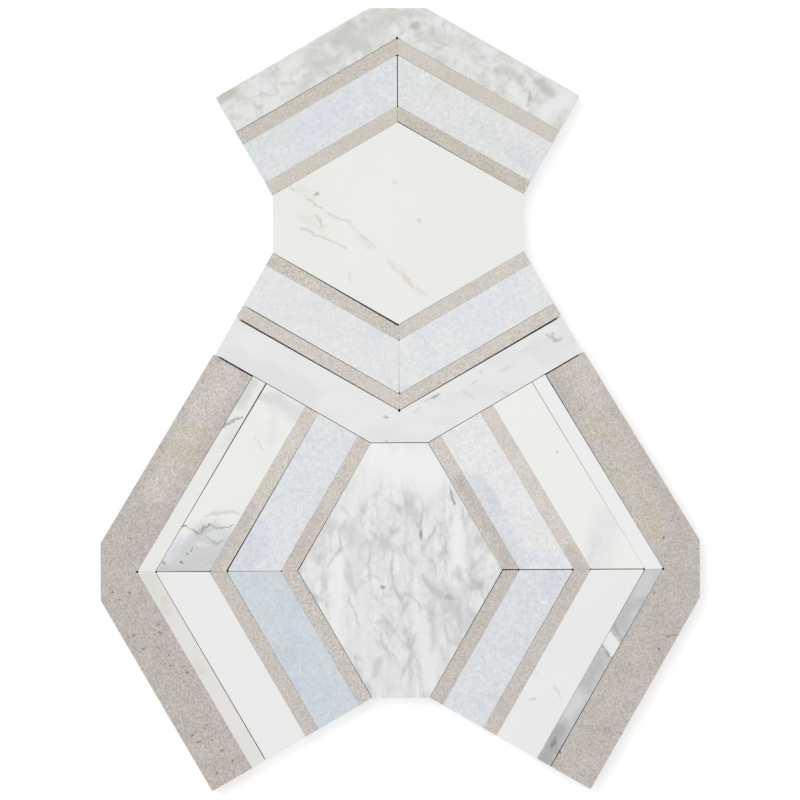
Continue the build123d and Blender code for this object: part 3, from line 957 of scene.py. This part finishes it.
TAUPES = {
    "top_left_inner_taupe": taupe((205, 199, 189), (202, 195, 185), 0.31),
    "top_left_outer_taupe": taupe((200, 193, 184), (197, 191, 181), 0.47),
    "top_right_inner_taupe": taupe((198, 191, 180), (195, 189, 177), 0.60),
    "top_right_outer_taupe": taupe((206, 200, 190), (204, 197, 187), 0.25),
    "waist_left_inner_taupe": taupe((203, 197, 187), (199, 192, 183), 0.68),
    "waist_left_outer_taupe": taupe((209, 202, 193), (204, 197, 187), 0.45),
    "waist_right_inner_taupe": taupe((208, 202, 193), (205, 200, 190), 0.43),
    "waist_right_outer_taupe": taupe((207, 201, 191), (204, 198, 189), 0.58),
    "left_upper_inner_taupe": taupe(
        (206, 199, 190), (203, 196, 186), 0.56,
        dark_end(((292, 562), (316, 514)), (9.0, 9.0), (196, 188, 181)),
    ),
    "left_upper_outer_taupe": taupe(
        (211, 205, 196), (206, 200, 190), 0.53,
        dark_end(((216, 566), (252, 506)), (10.0, 8.0), (196, 190, 184)),
    ),
    "left_lower_inner_taupe": taupe((202, 195, 189), (199, 192, 186), 0.75),
    "left_lower_outer_taupe": taupe((200, 193, 186), (197, 191, 184), 0.56),
    "right_upper_inner_taupe": taupe(
        (209, 203, 195), (205, 199, 189), 0.56,
        dark_end(((510, 564), (484, 518), (460, 480)), (9.0, 7.0), (191, 184, 178)),
    ),
    "right_upper_outer_taupe": taupe(
        (213, 207, 199), (208, 202, 193), 0.45,
        dark_end(((580, 570), (570, 552)), (9.0, 8.0), (196, 189, 183)),
    ),
    "right_lower_inner_taupe": taupe((197, 190, 182), (195, 188, 180), 0.60),
    "right_lower_outer_taupe": taupe((201, 194, 188), (197, 190, 184), 0.55),
}

LEFT_POINT_PITS = pits(
    (155, 636), (158, 648), (135, 634), (160, 632), (119, 600), (129, 593), (159, 623), (131, 539),
    (168, 654), (183, 667), (165, 665), (197, 733), (207, 726), (203, 728), (212, 740), (217, 773),
    (199, 743), (221, 750), (113, 592), (192, 736), (232, 761), (156, 611), (171, 665), (188, 673),
    (128, 636), (143, 649),
)
RIGHT_POINT_PITS = pits(
    (557, 756), (560, 752), (552, 752), (663, 537), (581, 751), (672, 521), (654, 593), (659, 649),
    (580, 409),
)
POINTS = {
    "left_point": taupe(
        (190, 183, 177), (187, 180, 173), 0.68, LEFT_POINT_MARKS + LEFT_POINT_PITS, specks=0.75
    ),
    "right_point": taupe(
        (193, 186, 180), (188, 181, 175), 0.64, RIGHT_POINT_MARKS + RIGHT_POINT_PITS, specks=0.65
    ),
}

FAMILIES = (
    (MARBLES, marble, "white_marble"),
    (BLUES, blue_marble, "blue_marble"),
    (TAUPES, limestone, "taupe_limestone"),
    (POINTS, limestone, "taupe_point_stone"),
)


# Sawn stones


def outline(name):
    """Corners of a node's underside, counter-clockwise from above, in metres: the node's merged flat faces
    become one polygon each, and the lowest is taken."""
    shell = bmesh.new()
    shell.from_mesh(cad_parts[name].data)
    bmesh.ops.remove_doubles(shell, verts=shell.verts, dist=WELD * MM)
    bmesh.ops.dissolve_limit(shell, angle_limit=FLAT_TURN, verts=shell.verts, edges=shell.edges)
    lowest = min(shell.faces, key=lambda face: face.calc_center_median().z)
    corners = np.array([corner.co[:2] for corner in lowest.verts])
    shell.free()
    return corners[::-1]


def walk(corners, step):
    """Points along a closed outline, at most one step apart, with every corner kept. Returns the points,
    their inward vectors (mitred at corners), how far round each one is and how far it is from a corner."""
    edges = np.roll(corners, -1, axis=0) - corners
    lengths = np.linalg.norm(edges, axis=1)
    counts = np.maximum(np.ceil(lengths / step), 1).astype(int)
    owner = np.repeat(np.arange(len(corners)), counts)
    place = np.arange(counts.sum()) - np.repeat(np.cumsum(counts) - counts, counts)
    share = place / counts[owner]
    normals = np.stack([-edges[:, 1], edges[:, 0]], axis=1) / lengths[:, None]
    before = np.roll(normals, 1, axis=0)
    mitres = (normals + before) / (1 + np.sum(normals * before, axis=1))[:, None]
    inward = np.where(place[:, None] == 0, mitres[owner], normals[owner])
    way = (np.cumsum(lengths) - lengths)[owner] + share * lengths[owner]
    points = corners[owner] + share[:, None] * edges[owner]
    corner_gap = np.minimum(share, 1 - share) * lengths[owner]
    return points, inward, way, corner_gap


def ragged(rng, way, length, spacing):
    """Random heights from 0 to 1, one for each spacing of a closed way, joined by straight lines."""
    count = max(int(length / spacing), 4)
    return np.interp(way, np.arange(count) * length / count, rng.random(count), period=length)


def with_height(points, height):
    """Plan points as space points at one height, or at a height each."""
    return np.column_stack([points, np.broadcast_to(height, len(points))])


def new_piece(name, vertices, faces, material):
    """A mesh object at the origin, with its place in its mesh, riding on the sheet."""
    mesh = bpy.data.meshes.new(name)
    mesh.from_pydata(vertices.tolist(), [], faces)
    mesh.materials.append(material)
    mesh.validate()
    piece = bpy.data.objects.new(name, mesh)
    bpy.context.scene.collection.objects.link(piece)
    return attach(piece, "root")


def sawn_stone(name, material):
    """A stone as three rings about its outline: the underside's edge, the wall's top, and the face's edge,
    which stands in by a bevel plus a ragged line plus rare chips. One polygon closes the face and another the
    underside."""
    corners = outline(name)
    points, inward, way, corner_gap = walk(corners, RING_STEP * MM)
    length = np.linalg.norm(np.roll(corners, -1, axis=0) - corners, axis=1).sum()
    rng = np.random.default_rng(zlib.crc32(name.encode()))
    fine = EDGE_RAGGED * ragged(rng, way, length, RAGGED_SPACING * MM)
    coarse = ragged(rng, way, length, CHIP_SPACING * MM)
    chips = EDGE_CHIP * np.clip((coarse - 1 + CHIP_SHARE) / CHIP_SHARE, 0, 1)
    inset = (EDGE_BEVEL + (fine + chips) * np.clip(corner_gap / (CORNER_CALM * MM), 0, 1)) * MM
    low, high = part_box(name)
    rings = np.concatenate([
        with_height(points, low.z),
        with_height(points, high.z - inset),
        with_height(points + inward * inset[:, None], high.z),
    ])
    count = len(points)
    here = np.arange(count)
    after = (here + 1) % count
    wall = np.stack([here, after, after + count, here + count], axis=1)
    faces = np.concatenate([wall, wall + count]).tolist()
    faces += [(here + 2 * count).tolist(), here[::-1].tolist()]
    return new_piece(f"{name}_stone", rings, faces, material)


for finishes, make_material, usual_slot in FAMILIES:
    for node, finish in finishes.items():
        stone = sawn_stone(node, make_material(f"{node}_finish", finish))
        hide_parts(node)


# Woven back


def mesh_yarn():
    """White glass yarn: fine filaments along both ways and a slightly uneven coating."""
    material = bpy.data.materials.new("mesh_yarn_finish")
    graph = blank_graph(material)
    mm = graph.scale(graph.node("ShaderNodeTexCoord").outputs["Object"], 1 / MM)
    coat = graph.group(CLOUDS, Vector=mm, Scale=0.08, Low=0.4, High=0.65, Seed=2.0)["Mask"]
    colour = graph.mix(coat, linear(YARN_TONE), linear(COAT_TONE))
    strands = graph.noise(graph.vector("MULTIPLY", mm, (1.0, 1.0, 0.4)), 6.0, detail=2.0)[0]
    honed = graph.group(HONED, Vector=mm, Level=0.6, Spread=0.3, Sawn=0.0)
    bump = graph.node("ShaderNodeBump", {"Strength": 0.5, "Distance": BUMP_MM * MM, "Height": strands})
    inputs = {"Base Color": colour, "Roughness": honed["Roughness"], "Normal": bump.outputs["Normal"]}
    shader = graph.node("ShaderNodeBsdfPrincipled", inputs)
    graph.node("ShaderNodeOutputMaterial", {"Surface": shader.outputs[0]})
    return material


def spans(corners, across, offset):
    """Stretches of a line that lie inside an outline: where the edges cross the line, sorted and paired."""
    start, end = corners, np.roll(corners, -1, axis=0)
    crossing = (start[:, across] > offset) != (end[:, across] > offset)
    start, end = start[crossing], end[crossing]
    share = (offset - start[:, across]) / (end[:, across] - start[:, across])
    along = 1 - across
    return np.sort(start[:, along] + share * (end[:, along] - start[:, along])).reshape(-1, 2)


def yarn(across, offset, start, end, turn, middle):
    """A flat six-sided yarn along a line, rising and falling as a cosine that goes over one crossing yarn and
    under the next. Returns its vertices and its quads, with a pair of quads at each end."""
    half = YARN_PITCH * MM / 2
    inner = np.arange(math.floor(start / half) + 1, math.ceil(end / half)) * half
    along = np.concatenate([[start], inner, [end]])
    rise = middle + YARN_WAVE * MM * np.cos(np.pi * (along / (2 * half) + turn))
    side, lift = (np.array(YARN_SECTION) * (YARN_WIDTH, YARN_THICKNESS) * MM).T
    place = np.empty((len(along), len(side), 3))
    place[:, :, across] = offset + side
    place[:, :, 1 - across] = along[:, None]
    place[:, :, 2] = rise[:, None] + lift
    count = len(side)
    ring = np.arange(count)
    after = (ring + 1) % count
    first = np.stack([ring, after, after + count, ring + count], axis=1)
    quads = (first + count * np.arange(len(along) - 1)[:, None, None]).reshape(-1, 4)
    cap = np.array([[3, 2, 1, 0], [5, 4, 3, 0]])
    quads = np.concatenate([quads, cap, cap[:, ::-1] + count * (len(along) - 1)])
    return place.reshape(-1, 3), quads if across == 0 else quads[:, ::-1]


def woven_back():
    """The mesh that holds the stones: yarns at an even pitch both ways, cut to the backing's outline."""
    corners = outline("mesh_backing")
    low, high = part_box("mesh_backing")
    middle = (low.z + high.z) / 2
    pitch = YARN_PITCH * MM
    vertices, quads, total = [], [], 0
    for across in (0, 1):
        lines = np.arange(math.ceil(low[across] / pitch), math.floor(high[across] / pitch) + 1)
        for line in lines:
            for start, end in spans(corners, across, line * pitch + LINE_NUDGE * MM):
                points, faces = yarn(across, line * pitch, start, end, line + across, middle)
                vertices.append(points)
                quads.append(faces + total)
                total += len(points)
    return new_piece("mesh_weave", np.concatenate(vertices), np.concatenate(quads).tolist(), mesh_yarn())


weave = woven_back()
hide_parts("mesh_backing")


# Stage


def floor_white(name, lift):
    """A matt white, made brighter by the lift where the camera sees it."""
    material = bpy.data.materials.new(name)
    graph = blank_graph(material)
    seen = graph.node("ShaderNodeLightPath").outputs["Is Camera Ray"]
    matt = graph.node("ShaderNodeBsdfDiffuse", {"Color": (FLOOR_ALBEDO, FLOOR_ALBEDO, FLOOR_ALBEDO, 1.0)})
    glow = graph.node("ShaderNodeEmission", {"Strength": graph.math("MULTIPLY", seen, lift)})
    both = graph.node("ShaderNodeAddShader", {0: matt.outputs[0], 1: glow.outputs[0]})
    graph.node("ShaderNodeOutputMaterial", {"Surface": both.outputs[0]})
    return material


def white_floor():
    """A pale floor that keeps the sheet's shadow and is lifted to white around the sheet, with a plain patch
    of the backing's outline just above it, so that the open joints stay dark."""
    square = np.array([(-1, -1, 0), (1, -1, 0), (1, 1, 0), (-1, 1, 0)]) * FLOOR_HALF
    patch = with_height(outline("mesh_backing"), PATCH_RISE * MM)
    mesh = bpy.data.meshes.new("floor")
    mesh.from_pydata(np.concatenate([square, patch]).tolist(), [], [range(4), range(4, 4 + len(patch))])
    mesh.materials.append(floor_white("floor_around", FLOOR_LIFT))
    mesh.materials.append(floor_white("floor_beneath", 0.0))
    mesh.polygons.foreach_set("material_index", [0, 1])
    floor = bpy.data.objects.new("floor", mesh)
    bpy.context.scene.collection.objects.link(floor)


def soft_light():
    """An even white sky, shown as plain white, and one large lamp above the upper left."""
    world = bpy.data.worlds.new("studio")
    graph = blank_graph(world)
    path = graph.node("ShaderNodeLightPath").outputs
    through = graph.math("MAXIMUM", path["Is Glossy Ray"], path["Is Transmission Ray"])
    shown = graph.math("MAXIMUM", path["Is Camera Ray"], through)
    strength = graph.math("ADD", SKY_STRENGTH, graph.math("MULTIPLY", shown, 1 - SKY_STRENGTH))
    sky = graph.node("ShaderNodeBackground", {"Strength": strength})
    sky.inputs["Color"].default_value = (1, 1, 1, 1)
    graph.node("ShaderNodeOutputWorld", {"Surface": sky.outputs[0]})
    bpy.context.scene.world = world
    key = bpy.data.lights.new("key", "AREA")
    key.energy = KEY_WATTS
    key.size = KEY_SIZE
    lamp = bpy.data.objects.new("key", key)
    lamp.location = KEY_PLACE
    lamp.rotation_euler = (-lamp.location).to_track_quat("-Z", "Y").to_euler()
    bpy.context.scene.collection.objects.link(lamp)


def overhead_camera():
    """A long lens straight above, as far up as makes the face fill the photograph's frame."""
    lens = bpy.data.cameras.new("overhead")
    lens.lens = LENS
    lens.sensor_width = SENSOR
    camera = bpy.data.objects.new("overhead", lens)
    centre = FRAME_PIXELS / 2
    x, y, _ = sheet_mm((centre, centre))
    rise = FRAME_PIXELS * MM_PER_PIXEL * LENS / SENSOR
    camera.location = (x * MM, y * MM, CAD_BOX[1].z + rise * MM)
    camera.rotation_euler = (0.0, 0.0, -SHEET_TURN)
    bpy.context.scene.collection.objects.link(camera)
    bpy.context.scene.camera = camera


white_floor()
soft_light()
overhead_camera()
bpy.context.scene.view_settings.view_transform = "Standard"
